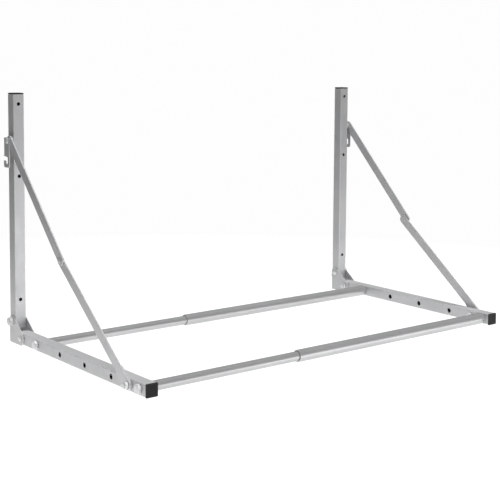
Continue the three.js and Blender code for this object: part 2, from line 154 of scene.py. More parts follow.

# How much a surface is lightened, from 0 to 1: by wear, and on edges and rolled corners also by a
# painted highlight
FRESH = 0.0
# Edges are lightened partly by wear and partly by a painted highlight of their reflection
EDGE_WEAR_AND_SHEEN = 1.0
HOLE_WALL_WEAR = 0.3
CORNER_WEAR_AND_SHEEN = 0.25  # wear and painted highlight where a rolled corner starts
CORNER_WEAR_AND_SHEEN_RISE = 0.5  # from there to the corner's middle
CAP_UNDERSIDE_WEAR_AND_SHEEN = 0.6
HEX_FACE_WEAR = 0.2
WASHER_WEAR = 0.5
THREAD_WEAR = 0.4
THREAD_TIP_WEAR = 0.2
DOME_WEAR = 0.3
DOME_RIM_WEAR_AND_SHEEN = 0.6
RIVET_FACE_WEAR = 0.3

ARC_STEP = math.radians(7.5)
RIM_STEPS = 3
CORNER_STEPS = 8
BEND_STEPS = 6
DOME_STEPS = 10
ROUND_STEPS = 72
THREAD_ROWS = 8  # in each turn
SHARP_ANGLE = math.radians(32)
SAME_PLACE = 1e-7  # how close a cut passes to a vertex before it uses it
WELD_GRID = 0.001 * MM


# ---- Side view ------------------------------------------------------------------------------------


class Side:
    """One side of the rack, which turns side-view coordinates into the row frame."""

    def __init__(self, name):
        self.name = name
        self.sign = -1 if name == "left" else 1
        lo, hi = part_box(f"{name}_upright_tube")
        self.outer = lo.x if self.sign < 0 else hi.x

    def place(self, point):
        d, z, o = point
        return Vector((self.outer + self.sign * o, -d, z))

    def box(self, piece):
        """The piece's spans of distance, height and outboard distance."""
        lo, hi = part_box(f"{self.name}_{piece}")
        ends = sorted(self.sign * (x - self.outer) for x in (lo.x, hi.x))
        return (-hi.y, -lo.y), (lo.z, hi.z), tuple(ends)

    def centre(self, piece):
        """The middle of the piece in the side view."""
        (d0, d1), (z0, z1), _ = self.box(piece)
        return (d0 + d1) / 2, (z0 + z1) / 2


# ---- Skins: vertices and faces of one piece --------------------------------------------------------


class Skin:
    def __init__(self):
        self.points = []
        self.wear = []
        self.faces = []

    def loop(self, points, wear=FRESH):
        start = len(self.points)
        self.points += [tuple(p) for p in points]
        self.wear += [wear] * len(points)
        return list(range(start, len(self.points)))

    def band(self, a, b):
        """Quads between two closed loops with the same number of vertices."""
        for i in range(len(a)):
            j = (i + 1) % len(a)
            self.faces.append((a[i], a[j], b[j], b[i]))

    def bands(self, loops):
        for a, b in zip(loops, loops[1:]):
            self.band(a, b)

    def fan(self, loop, centre):
        (tip,) = self.loop([centre])
        for i in range(len(loop)):
            self.faces.append((loop[i], loop[(i + 1) % len(loop)], tip))

    def fill(self, loops, flat):
        """Triangles over the face bounded by the first loop and holed by the others. flat turns
        a vertex into its two coordinates in that face."""
        rings = [[Vector((*flat(self.points[i]), 0)) for i in loop] for loop in loops]
        indices = [i for loop in loops for i in loop]
        for triangle in tessellate_polygon(rings):
            self.faces.append(tuple(indices[k] for k in triangle))


def as_bmesh(skin, place):
    """The skin as a bmesh, and the layer that holds its wear and painted sheen. place moves each
    point.
    """
    made = bmesh.new()
    wear = made.verts.layers.float.new("wear")
    vertices = []
    for point, worn_and_shining in zip(skin.points, skin.wear):
        vertex = made.verts.new(place(point))
        vertex[wear] = worn_and_shining
        vertices.append(vertex)
    for face in skin.faces:
        made.faces.new([vertices[i] for i in face])
    return made, wear


def add_object(name, data):
    made = bpy.data.objects.new(name, data)
    bpy.context.scene.collection.objects.link(made)
    return made


def make_piece(skin, side, node):
    """Turns a skin into the piece that stands for a CAD node, on that node's body."""
    name = f"{side.name}_{node}"
    made, _ = as_bmesh(skin, side.place)
    bmesh.ops.recalc_face_normals(made, faces=made.faces)
    if made.calc_volume(signed=True) < 0:
        bmesh.ops.reverse_faces(made, faces=made.faces)
    mesh = bpy.data.meshes.new(f"{name}_fine")
    made.to_mesh(mesh)
    made.free()
    mesh.shade_smooth()
    mesh.set_sharp_from_angle(angle=SHARP_ANGLE)
    piece = add_object(f"{name}_fine", mesh)
    weighted = piece.modifiers.new("weighted_normals", "WEIGHTED_NORMAL")
    weighted.keep_sharp = True
    mesh.materials.append(MATERIALS[SLOT_OF[name]])
    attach(piece, BODY_OF[name])
    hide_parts(name)


# ---- Outlines in the side view ---------------------------------------------------------------------


def arc(centre, radius, start, end):
    """Points of an arc, both ends included, turning from the start angle to the end angle."""
    steps = max(2, math.ceil(abs(end - start) / ARC_STEP))
    angles = [start + (end - start) * k / steps for k in range(steps + 1)]
    return [(centre[0] + radius * math.cos(a), centre[1] + radius * math.sin(a)) for a in angles]


def hole(centre, radius):
    """A round hole's edge, with the sheet on its left."""
    return arc(centre, radius, math.tau, 0)[:-1]


def quarter_turn(steps=RIM_STEPS):
    """Angles from 0 to a right angle, both ends included."""
    return [math.pi / 2 * k / steps for k in range(steps + 1)]


def rounding(radius):
    """A rounded edge from a face to a side, as rows of how far in from the side and how far
    below the face."""
    return [(radius * (1 - math.sin(a)), radius * (1 - math.cos(a))) for a in quarter_turn()]


def clearance(size):
    """The radius of the hole that a bolt goes through."""
    return size["radius"] + HOLE_CLEARANCE


def inset(loop, amount):
    """The loop moved to its left by an amount, with mitred corners."""
    points = [Vector(p) for p in loop]
    moved = []
    for i, here in enumerate(points):
        before = (here - points[i - 1]).normalized()
        after = (points[(i + 1) % len(points)] - here).normalized()
        n1 = Vector((-before.y, before.x))
        n2 = Vector((-after.y, after.x))
        moved.append(here + (n1 + n2) * (amount / (1 + n1.dot(n2))))
    return moved


def strap_outline(start, end, past_start, past_end):
    """A bar's outline with half-round ends, past each point by its own overlap."""
    start, end = Vector(start), Vector(end)
    along = (end - start).normalized()
    angle = math.atan2(along.y, along.x)
    radius = BRACE_WIDTH / 2
    head = end + along * (past_end - radius)
    foot = start - along * (past_start - radius)
    quarter = math.pi / 2
    return [
        *arc(head, radius, angle - quarter, angle + quarter),
        *arc(foot, radius, angle + quarter, angle + 3 * quarter),
    ]


def tangent_angle(start, start_radius, end, end_radius):
    """The angle at which a straight flank leaves one circle to touch another, on its left side."""
    along = Vector(end) - Vector(start)
    return math.atan2(along.y, along.x) + math.acos((start_radius - end_radius) / along.length)


# ---- Sheets ----------------------------------------------------------------------------------------


def rim_rows(near, far, rim):
    """A sheet's edge from face to face, as rows of how far in, how far out, and how much it is
    lightened by wear and painted highlight.
    """
    lower = [(i, near + o, EDGE_WEAR_AND_SHEEN) for i, o in rounding(rim)]
    upper = [(i, near + far - o, w) for i, o, w in reversed(lower)]
    return [(rim + WEAR_AND_SHEEN_BAND, near, FRESH), *lower, *upper, (rim + WEAR_AND_SHEEN_BAND, far, FRESH)]


def sheet(skin, outline, holes, span, rim=RIM, dimples=()):
    """A flat sheet with rounded edges and holes, and dimples pressed into its outboard face."""
    near, far = span
    near_loops, far_loops = [], []
    for edge in [outline, *holes]:
        rows = [
            skin.loop([(*p, o) for p in inset(edge, i)], wear)
            for i, o, wear in rim_rows(near, far, rim)
        ]
        skin.bands(rows)
        near_loops.append(rows[0])
        far_loops.append(rows[-1])
    for centre in dimples:
        far_loops.append(dimple(skin, centre, far))
    skin.fill(near_loops, lambda p: p[:2])
    skin.fill(far_loops, lambda p: p[:2])


def dimple(skin, centre, face):
    """A round dimple in a face, as rows from its lip to its floor. Returns the lip."""
    steps = 2 * RIM_STEPS
    shares = [k / steps for k in range(steps)]
    rows = [
        skin.loop(
            [(*p, face - DIMPLE_DEPTH * (1 - math.cos(math.pi * t)) / 2)
             for p in hole(centre, DIMPLE_RADIUS * (1 - t))],
            wear=1 - t,
        )
        for t in shares
    ]
    skin.bands(rows)
    skin.fan(rows[-1], (*centre, face - DIMPLE_DEPTH))
    return rows[0]


def fold_corner(along, depth, flat):
    """A point of a sheet that runs flat, round one bend and on at a right angle. Along is measured
    on the outside; depth is how far inside of it. Gives how far across and how far forward."""
    bend = BEND_RADIUS * math.pi / 2
    if along <= flat:
        return along, depth
    if along <= flat + bend:
        angle = (along - flat) / BEND_RADIUS
        radius = BEND_RADIUS - depth
        return flat + radius * math.sin(angle), BEND_RADIUS - radius * math.cos(angle)
    return flat + BEND_RADIUS - depth, BEND_RADIUS + along - flat - bend


def unfolded(forward, flat):
    """How far along the outside a point of the plate beyond the bend lies."""
    return flat + BEND_RADIUS * math.pi / 2 + forward - BEND_RADIUS


def cut_at(skin, values):
    """Adds vertices along lines of constant first coordinate, so that the skin can bend there."""
    made, wear = as_bmesh(skin, Vector)
    for value in values:
        geometry = [*made.verts, *made.edges, *made.faces]
        bmesh.ops.bisect_plane(
            made, geom=geometry, dist=SAME_PLACE, plane_co=(value, 0, 0), plane_no=(1, 0, 0)
        )
    bmesh.ops.dissolve_degenerate(made, edges=made.edges, dist=SAME_PLACE)
    made.verts.index_update()
    skin.points = [tuple(v.co) for v in made.verts]
    skin.wear = [v[wear] for v in made.verts]
    skin.faces = [tuple(v.index for v in f.verts) for f in made.faces]
    made.free()


def bend_lines(flat):
    """Where a bend that starts at the end of the flat is cut, so that it turns in steps."""
    return [flat + BEND_RADIUS * math.pi / 2 * k / BEND_STEPS for k in range(BEND_STEPS + 1)]


# ---- Tubes -----------------------------------------------------------------------------------------


BOTH, OUTER = (1, -1), (1,)  # the walls of a tube that a hole goes through


def rounded_square(size, corner):
    """Corner by corner, starting at the one where both coordinates are positive."""
    reach = size / 2 - corner
    points = []
    for k, (sx, sy) in enumerate([(1, 1), (-1, 1), (-1, -1), (1, -1)]):
        start = math.pi / 2 * k
        for j in range(CORNER_STEPS + 1):
            angle = start + math.pi / 2 * j / CORNER_STEPS
            x = sx * reach + corner * math.cos(angle)
            y = sy * reach + corner * math.sin(angle)
            points.append((x, y))
    return points


def corner_wear_and_sheen(count):
    """How much each vertex of a rounded square is lightened by wear and painted highlight: most in
    the middle of a corner.
    """
    per_corner = CORNER_STEPS + 1
    turns = [math.pi * (i % per_corner) / CORNER_STEPS for i in range(count)]
    return [CORNER_WEAR_AND_SHEEN + CORNER_WEAR_AND_SHEEN_RISE * math.sin(turn) for turn in turns]


def square_tube(skin, size, ends, holes, place):
    """An open square tube. holes are (axis, walls, across, along, radius), each through the walls
    on the given sides of the axis. place turns (a, b, along) into a point of the side view."""
    start, end = ends
    outer = rounded_square(size, TUBE_CORNER)
    inner = rounded_square(size - 2 * TUBE_WALL, TUBE_INNER_CORNER)

    def ring(profile, shrink, along, wear=None):
        share = 1 - 2 * shrink / size
        loop = skin.loop([(a * share, b * share, along) for a, b in profile])
        if wear:
            for i, worn_and_shining in zip(loop, wear):
                skin.wear[i] = worn_and_shining
        return loop

    edge = rounding(RIM)
    worn_and_shining = corner_wear_and_sheen(len(outer))
    full = [EDGE_WEAR_AND_SHEEN] * len(outer)
    first = [ring(outer, i, start + s, full if s < RIM else worn_and_shining) for i, s in edge]
    last = [ring(outer, i, end - s, full if s < RIM else worn_and_shining) for i, s in edge]
    bore = [ring(inner, 0, start), ring(inner, 0, end)]
    skin.bands([bore[0], *first])
    skin.bands([bore[1], *last])
    for near_loop, far_loop, reach, outside in (
        (first[-1], last[-1], size / 2, True),
        (bore[0], bore[1], size / 2 - TUBE_WALL, False),
    ):
        tube_walls(skin, near_loop, far_loop, reach, outside, holes)
    for axis, walls, across, along, radius in holes:
        for sign in walls:
            tube_hole(skin, axis, sign, across, along, radius, size / 2)
    weld(skin)
    skin.points = [place(p) for p in skin.points]


def wall_point(axis, sign, across, along, height):
    """A point on the wall that an axis crosses, at a height from the tube's middle."""
    return (sign * height, across, along) if axis == "a" else (across, sign * height, along)


def tube_walls(skin, near_loop, far_loop, reach, outside, holes):
    """The long faces between the loops at a tube's two ends. The flat ones are holed."""
    per_corner = CORNER_STEPS + 1
    count = len(near_loop)
    walls = {CORNER_STEPS: ("b", 1), CORNER_STEPS + per_corner: ("a", -1)}
    walls[CORNER_STEPS + 2 * per_corner] = ("b", -1)
    walls[CORNER_STEPS + 3 * per_corner] = ("a", 1)
    for i in range(count):
        j = (i + 1) % count
        if i not in walls:
            skin.faces.append((near_loop[i], near_loop[j], far_loop[j], far_loop[i]))
            continue
        axis, sign = walls[i]
        pick = (lambda p: (p[1], p[2])) if axis == "a" else (lambda p: (p[0], p[2]))
        border = [near_loop[i], near_loop[j], far_loop[j], far_loop[i]]
        corners = [pick(skin.points[k]) for k in border]
        middle = Vector((0, sum(c[1] for c in corners) / 4))
        inner_corners = []
        for c in corners:
            step_x = math.copysign(WEAR_AND_SHEEN_BAND, middle.x - c[0])
            step_y = math.copysign(WEAR_AND_SHEEN_BAND, middle.y - c[1])
            inner_corners.append(Vector(c) + Vector((step_x, step_y)))
        field = skin.loop([wall_point(axis, sign, *c, reach) for c in inner_corners])
        skin.band(border, field)
        loops = [field]
        for hole_axis, hole_walls, across, along, radius in holes:
            if hole_axis == axis and sign in hole_walls:
                lip = radius + (RIM + WEAR_AND_SHEEN_BAND if outside else 0)
                edge = hole((across, along), lip)
                loops.append(skin.loop([wall_point(axis, sign, *p, reach) for p in edge]))
        skin.fill(loops, pick)


def tube_hole(skin, axis, sign, across, along, radius, reach):
    """The rounded lip and the side of a hole in one wall."""
    rows = [
        (radius + RIM + WEAR_AND_SHEEN_BAND, 0, FRESH),
        *((radius + i, depth, EDGE_WEAR_AND_SHEEN) for i, depth in rounding(RIM)),
        (radius, TUBE_WALL, HOLE_WALL_WEAR),
    ]
    loops = []
    for r, depth, wear in rows:
        edge = hole((across, along), r)
        loops.append(skin.loop([wall_point(axis, sign, *p, reach - depth) for p in edge], wear))
    skin.bands(loops)


def weld(skin):
    """Joins the vertices that lie in the same place."""
    seen, index = {}, []
    points, wear = [], []
    for point, worn_and_shining in zip(skin.points, skin.wear):
        key = tuple(round(c / WELD_GRID) for c in point)
        if key not in seen:
            seen[key] = len(points)
            points.append(point)
            wear.append(worn_and_shining)
        index.append(seen[key])
    skin.points, skin.wear = points, wear
    skin.faces = [tuple(index[i] for i in face) for face in skin.faces]


# ---- Turned pieces ---------------------------------------------------------------------------------


def turned(skin, centre, rows):
    """Rows of (radius, outboard, wear and painted sheen) swept round a pin's axis. A radius or an
    outboard distance may be a function of the angle. A row of radius 0 closes the piece; without one
    it's a ring."""
    loops, poles = [], {}
    for k, (radius, outboard, wear) in enumerate(rows):
        if radius == 0:
            poles[k] = (*centre, outboard)
            loops.append(None)
            continue
        points = []
        for i in range(ROUND_STEPS):
            angle = math.tau * i / ROUND_STEPS
            r = radius(angle) if callable(radius) else radius
            o = outboard(angle) if callable(outboard) else outboard
            points.append((centre[0] + r * math.cos(angle), centre[1] + r * math.sin(angle), o))
        loops.append(skin.loop(points, wear))
    for a, b in zip(loops, loops[1:]):
        if a and b:
            skin.band(a, b)
    for k, pole in poles.items():
        skin.fan(loops[1] if k == 0 else loops[k - 1], pole)
    if not poles:
        skin.band(loops[-1], loops[0])


def hexagon(flats, turn):
    """The radius of a hexagon at an angle."""
    def radius(angle):
        return flats / 2 / math.cos((angle - turn) % (math.pi / 3) - math.pi / 6)
    return radius


def hex_rows(node, flats, near, far):
    """The flats and the two chamfers of a hexagon, from its near face to its far face."""
    radius = hexagon(flats, math.radians(HEX_TURNS[node]))
    face_radius = HEX_FACE_SHARE * flats
    slope = math.copysign(math.tan(HEX_CHAMFER), far - near)

    def chamfer(angle):
        return (radius(angle) - face_radius) * slope

    return [
        (face_radius, near, HEX_FACE_WEAR),
        (radius, lambda angle: near + chamfer(angle), EDGE_WEAR_AND_SHEEN),
        (radius, lambda angle: far - chamfer(angle), EDGE_WEAR_AND_SHEEN),
        (face_radius, far, HEX_FACE_WEAR),
    ]


def thread_rows(size, start, end):
    """A right-hand thread that ends in a chamfered tip and its closing point."""
    pitch = size["pitch"]
    depth = THREAD_DEPTH_SHARE * pitch
    way = math.copysign(1, end - start)
    count = round(abs(end - start) / pitch * THREAD_ROWS)
    rows = []
    for k in range(count + 1):
        outboard = start + (end - start) * k / count
        from_tip = abs(end - outboard)

        def radius(angle, outboard=outboard, from_tip=from_tip):
            phase = (way * outboard / pitch - angle / math.tau) % 1
            crest = size["radius"] - depth * abs(2 * phase - 1) ** THREAD_SHARPNESS
            return min(crest, size["radius"] - depth + from_tip)

        rows.append((radius, outboard, THREAD_WEAR))
    rows.append((0, end, THREAD_TIP_WEAR))
    return rows


# ---- Pieces ----------------------------------------------------------------------------------------


def upright_tube(side):
    (d0, d1), (z0, z1), (o0, o1) = side.box("upright_tube")
    top = side.box("upright_cap")[1][1]
    middle_d, middle_o = (d0 + d1) / 2, (o0 + o1) / 2
    fixing = side.centre("bracket_bolt")
    brace = side.centre("brace_top_bolt")
    holes = [("a", BOTH, 0, top - drop, SCREW_HOLE_RADIUS) for drop in SCREW_HOLES_BELOW_TOP]
    holes.append(("b", BOTH, fixing[0] - middle_d, fixing[1], clearance(M10)))
    holes.append(("b", OUTER, brace[0] - middle_d, brace[1], clearance(M8)))
    skin = Skin()
    square_tube(
        skin, d1 - d0, (z0, z1), holes, lambda p: (middle_d + p[0], p[2], middle_o + p[1])
    )
    make_piece(skin, side, "upright_tube")


def arm_tube(side):
    (d0, d1), (z0, z1), (o0, o1) = side.box("arm_tube")
    middle_z, middle_o = (z0 + z1) / 2, (o0 + o1) / 2
    rear, front = side.centre("rear_rod_bolt")[0], side.centre("front_rod_bolt")[0]
    holes = [
        ("b", BOTH, 0, rear + (front - rear) * (k + 1) / (SPARE_HOLES + 1), SPARE_HOLE_RADIUS)
        for k in range(SPARE_HOLES)
    ]
    for bolt, size in (
        ("arm_pivot_bolt", M8),
        ("brace_foot_bolt", M8),
        ("rear_rod_bolt", M10),
        ("front_rod_bolt", M10),
    ):
        holes.append(("b", BOTH, 0, side.centre(bolt)[0], clearance(size)))
    skin = Skin()
    square_tube(
        skin, z1 - z0, (d0, d1), holes, lambda p: (p[2], middle_z + p[0], middle_o + p[1])
    )
    make_piece(skin, side, "arm_tube")


def cap(side, node, tube, size, flange, place):
    """A tube's plug: a hollow skirt under a crowned flange, from its underside at 0 outwards."""
    skirt = tube - 2 * TUBE_WALL - 2 * GAP
    flange_corner = TUBE_CORNER + (size - tube) / 2
    hollow = skirt - 2 * CAP_SKIRT_WALL
    skin = Skin()

    def ring(width, corner, along, wear=FRESH):
        return skin.loop([(a, b, along) for a, b in rounded_square(width, corner)], wear)

    top_edge = flange - CAP_CROWN - CAP_EDGE
    loops = [
        ring(hollow, CAP_HOLLOW_CORNER, 0),
        ring(hollow, CAP_HOLLOW_CORNER, -CAP_SKIRT),
        ring(skirt, TUBE_INNER_CORNER, -CAP_SKIRT),
        ring(skirt, TUBE_INNER_CORNER, 0),
        ring(size - 2 * RIM, flange_corner - RIM, 0),
        ring(size, flange_corner, RIM, CAP_UNDERSIDE_WEAR_AND_SHEEN),
    ]
    for a in quarter_turn(2 * RIM_STEPS):
        shrink = CAP_EDGE * (1 - math.cos(a))
        rise = CAP_EDGE * math.sin(a)
        width = size - 2 * shrink
        loops.append(ring(width, flange_corner - shrink / 2, top_edge + rise, EDGE_WEAR_AND_SHEEN))
    for share in CAP_CROWN_SHARES:
        width = (size - 2 * CAP_EDGE) * share
        rise = CAP_CROWN * (1 - share**2)
        loops.append(ring(width, flange_corner * share, flange - CAP_CROWN + rise))
    skin.bands(loops)
    skin.fan(loops[0], (0, 0, 0))
    skin.fan(loops[-1], (0, 0, flange))
    skin.points = [place(p) for p in skin.points]
    make_piece(skin, side, node)


def upright_cap(side):
    (d0, d1), (_, z1), (o0, o1) = side.box("upright_cap")
    base = side.box("upright_tube")[1][1] + GAP
    middle_d, middle_o = (d0 + d1) / 2, (o0 + o1) / 2
    cap(
        side, "upright_cap", d1 - d0, d1 - d0, z1 - base,
        lambda p: (middle_d + p[0], base + p[2], middle_o + p[1]),
    )


def arm_cap(side):
    (_, d1), (z0, z1), (o0, o1) = side.box("arm_cap")
    (_, tube_end), (tube_z0, tube_z1), _ = side.box("arm_tube")
    base = tube_end + GAP
    middle_z, middle_o = (z0 + z1) / 2, (o0 + o1) / 2
    cap(
        side, "arm_cap", tube_z1 - tube_z0, z1 - z0, d1 - base,
        lambda p: (base + p[2], middle_z + p[0], middle_o + p[1]),
    )


def pivot_bracket(side):
    """One folded sheet: two plates that clasp the upright and the arm, and a web behind the arm."""
    _, (bottom, ear_top), (o0, o1) = side.box("pivot_bracket")
    ear = side.centre("bracket_bolt")
    nose = side.centre("arm_pivot_bolt")
    ear_radius, nose_radius = ear_top - ear[1], nose[1] - bottom
    half_flat = (o1 - o0) / 2 - BEND_RADIUS
    middle = (o0 + o1) / 2
    flank = tangent_angle(ear, ear_radius, nose, nose_radius)
    plate = [
        (0, BRACKET_WEB_TOP + RELIEF),
        *arc(ear, ear_radius, math.pi, flank),
        *arc(nose, nose_radius, flank, -math.pi / 2),
    ]
    plate = [(unfolded(d, half_flat), z) for d, z in plate]
    tangent = unfolded(BEND_RADIUS, half_flat)
    relief = [(tangent, BRACKET_WEB_TOP), (tangent, BRACKET_WEB_TOP + RELIEF)]
    right = [*relief, *plate]
    left = [(-u, z) for u, z in reversed(right)]
    outline = [*reversed(right), *reversed(left)]

    def both(point, radius):
        u = unfolded(point[0], half_flat)
        return [hole((u, point[1]), radius), hole((-u, point[1]), radius)]

    holes = [
        *both(ear, clearance(M10)),
        *both(nose, clearance(M8)),
    ]
    skin = Skin()
    sheet(skin, outline, holes, (0, PLATE))
    lines = bend_lines(half_flat)
    cut_at(skin, [*lines, *(-u for u in lines)])

    def fold(point):
        u, z, depth = point
        if z > BRACKET_WEB_TOP + RELIEF / 2:
            across = half_flat + BEND_RADIUS - depth
            forward = abs(u) - unfolded(0, half_flat)
        else:
            across, forward = fold_corner(abs(u), depth, half_flat)
        return forward, z, middle + math.copysign(across, u)

    skin.points = [fold(p) for p in skin.points]
    make_piece(skin, side, "pivot_bracket")


def hook_bracket(side):
    """One folded sheet: a web against the wall and a plate with a slot that opens rearwards."""
    (back, front), (bottom, top), (o0, o1) = side.box("hook_bracket")
    flat = o1 - o0 - BEND_RADIUS
    slot_radius = (HOOK_SLOT["front"] - HOOK_SLOT["rear"]) / 2
    slot_middle = HOOK_SLOT["rear"] + slot_radius
    slot_top, lip_top = HOOK_SLOT["top"], HOOK_LIP_TOP
    lip, corner = HOOK_LIP_CORNER, HOOK_CORNER
    half = math.pi / 2
    plate = [
        (back, slot_top + HOOK_MOUTH_FLARE),
        *arc((HOOK_SLOT["front"] - lip, slot_top - lip), lip, half, 0),
        *arc((slot_middle, HOOK_SLOT["bottom"] + slot_radius), slot_radius, 0, -math.pi),
        *arc((HOOK_SLOT["rear"] - lip, lip_top - lip), lip, 0, half),
        (back, lip_top),
        *arc((back + corner, bottom + corner), corner, math.pi, 3 * half),
        *arc((front - corner, bottom + corner), corner, -half, 0),
        *arc((front - corner, top - corner), corner, 0, half),
    ]
    plate = [(unfolded(d - back, flat), z) for d, z in plate]
    tangent = unfolded(BEND_RADIUS, flat)
    web = [
        (0, top),
        (0, HOOK_WEB_BOTTOM),
        (tangent, HOOK_WEB_BOTTOM),
        (tangent, HOOK_WEB_BOTTOM - RELIEF),
        (unfolded(0, flat), HOOK_WEB_BOTTOM - RELIEF),
    ]
    d, z = side.centre("brace_top_bolt")
    holes = [hole((unfolded(d - back, flat), z), clearance(M8))]
    skin = Skin()
    sheet(skin, [*web, *plate], holes, (0, PLATE))
    cut_at(skin, bend_lines(flat))

    def fold(point):
        u, z, depth = point
        if z < HOOK_WEB_BOTTOM - RELIEF / 2:
            across, forward = flat + BEND_RADIUS - depth, u - unfolded(0, flat)
        else:
            across, forward = fold_corner(u, depth, flat)
        return back + forward, z, o0 + across

    skin.points = [fold(p) for p in skin.points]
    make_piece(skin, side, "hook_bracket")


def beside(point, end, knee):
    """The point moved square to the line from an end of the brace to its knee, to its left."""
    along = (Vector(knee) - Vector(end)).normalized()
    return Vector(point) + Vector((-along.y, along.x)) * BRACE_OFFSET


def braces(side):
    """The two bars of the brace and the doubler at its foot."""
    top = side.centre("brace_top_bolt")
    foot = side.centre("brace_foot_bolt")
    knee = side.centre("knee_rivet_outer")
    top_hole, foot_hole = (hole(end, clearance(M8)) for end in (top, foot))
    knee_hole = hole(knee, RIVET_RADIUS + HOLE_CLEARANCE)
    upper_start, upper_end = beside(top, top, knee), beside(knee, top, knee)
    lower_end = beside(knee, foot, knee)
    back = (lower_end - Vector(foot)).normalized()
    doubler_end = Vector(foot) + back * DOUBLER_LENGTH
    up = (upper_start - upper_end).normalized()
    dimple_centre = tuple(upper_end + up * DIMPLE_FROM_KNEE)
    radius = BRACE_WIDTH / 2
    upper = strap_outline(upper_start, upper_end, UPPER_BRACE_PAST_TOP, UPPER_BRACE_PAST_KNEE)
    lower = strap_outline(foot, lower_end, radius, LOWER_BRACE_PAST_KNEE)
    doubler = strap_outline(foot, doubler_end, radius, 0)
    for node, outline, holes, dimples in (
        ("upper_brace", upper, [top_hole, knee_hole], [dimple_centre]),
        ("lower_brace", lower, [foot_hole, knee_hole], []),
        ("brace_doubler", doubler, [foot_hole], []),
    ):
        skin = Skin()
        sheet(skin, outline, holes, side.box(node)[2], BRACE_RIM, dimples)
        make_piece(skin, side, node)


def rods(side):
    """The side's two rods, and the inserts in their ends that the rod bolts screw into."""
    for place in ("front", "rear"):
        _, (z0, z1), span = side.box(f"{place}_rod")
        centre = side.centre(f"{place}_rod")
        radius = (z1 - z0) / 2
        make_pipe(side, f"{place}_rod", centre, radius, radius - ROD_WALLS[side.name], span)
        _, (z0, z1), span = side.box(f"{place}_rod_insert")
        make_pipe(side, f"{place}_rod_insert", centre, (z1 - z0) / 2, clearance(M10), span)


def make_pipe(side, node, centre, radius, bore, span):
    """A round pipe with rounded ends."""
    near, far = span
    rim = min(RIM, (radius - bore) / 3)
    edge = rounding(rim)
    rows = [
        (bore, near, FRESH),
        *((radius - i, near + s, EDGE_WEAR_AND_SHEEN) for i, s in edge),
        (radius, near + rim + WEAR_AND_SHEEN_BAND, FRESH),
        (radius, far - rim - WEAR_AND_SHEEN_BAND, FRESH),
        *((radius - i, far - s, EDGE_WEAR_AND_SHEEN) for i, s in reversed(edge)),
        (bore, far, FRESH),
    ]
    skin = Skin()
    turned(skin, centre, rows)
    make_piece(skin, side, node)


def hex_bolt(side, node, size, head, tip):
    """A hexagon bolt. head is its (under, top) and tip the shank's end, outboard distances."""
    under, top = head
    way = math.copysign(1, under - top)
    shoulder = under - way * WASHER_FACE
    washer = WASHER_FACE_SHARE * size["flats"]
    thread_start = tip - way * THREADED_TURNS * size["pitch"]
    rows = [
        (0, top, FRESH),
        *hex_rows(node, size["flats"], top, shoulder),
        (washer, shoulder, HEX_FACE_WEAR),
        (washer, under, WASHER_WEAR),
        (size["radius"], under, FRESH),
        *thread_rows(size, thread_start, tip),
    ]
    skin = Skin()
    turned(skin, side.centre(node), rows)
    make_piece(skin, side, node)


def nut(side, node, size):
    """A hexagon nut with a smooth bore, countersunk at both ends."""
    near, far = side.box(node)[2]
    bore = clearance(size)
    rows = [
        (bore, near + NUT_SINK, FRESH),
        (bore + NUT_SINK, near, HEX_FACE_WEAR),
        *hex_rows(node, size["flats"], near, far),
        (bore + NUT_SINK, far, HEX_FACE_WEAR),
        (bore, far - NUT_SINK, FRESH),
    ]
    skin = Skin()
    turned(skin, side.centre(node), rows)
    make_piece(skin, side, node)


def dome_rows(radius, seat, rise):
    """A low round head from its crown down to its seat. The rise is negative for one inboard."""
    flank = DOME_FLANK_SHARE * rise
    rows = [(0, seat + rise, FRESH)]
    for angle in quarter_turn(DOME_STEPS)[1:]:
        outboard = seat + flank + (rise - flank) * math.cos(angle)
        rows.append((radius * math.sin(angle), outboard, DOME_WEAR))
    rows.append((radius, seat + DOME_EDGE_SHARE * rise, DOME_RIM_WEAR_AND_SHEEN))
    rows.append((radius - DOME_EDGE_SHARE * abs(rise), seat, DOME_RIM_WEAR_AND_SHEEN))
    return rows


def dome_bolt(side, node, size, tip, top):
    """A round-headed bolt between the outboard distances of its tip and of its crown."""
    (d0, d1), _, _ = side.box(node)
    way = math.copysign(1, top - tip)
    seat = top - way * size["dome"]
    rows = [
        *dome_rows((d1 - d0) / 2, seat, way * size["dome"]),
        (size["radius"], seat, FRESH),
        *thread_rows(size, tip + way * THREADED_TURNS * size["pitch"], tip),
    ]
    skin = Skin()
    turned(skin, side.centre(node), rows)
    make_piece(skin, side, node)


def fasteners(side):
    """Bolts, nuts, spacer and rivet halves."""
    arm_inner = side.box("arm_tube")[2][0]
    top, tip = side.box("bracket_bolt")[2]
    dome_bolt(side, "bracket_bolt", M10, tip, top)
    nut(side, "bracket_nut", M10)
    dome_bolt(side, "arm_pivot_bolt", M8, *side.box("arm_pivot_bolt")[2])
    nut(side, "arm_pivot_nut", M8)
    dome_bolt(side, "brace_top_bolt", M8, *side.box("brace_top_bolt")[2])
    nut(side, "brace_top_nut", M8)
    top, tip = side.box("brace_foot_bolt")[2]
    hex_bolt(side, "brace_foot_bolt", M8, (arm_inner - GAP, top), tip)
    nut(side, "brace_foot_nut", M8)
    for node in ("front_rod_bolt", "rear_rod_bolt"):
        tip, top = side.box(node)[2]
        hex_bolt(side, node, M10, (GAP, top), tip)
    (d0, d1), _, span = side.box("brace_top_spacer")
    centre = side.centre("brace_top_bolt")
    make_pipe(side, "brace_top_spacer", centre, (d1 - d0) / 2, clearance(M8), span)
    rivet(side)


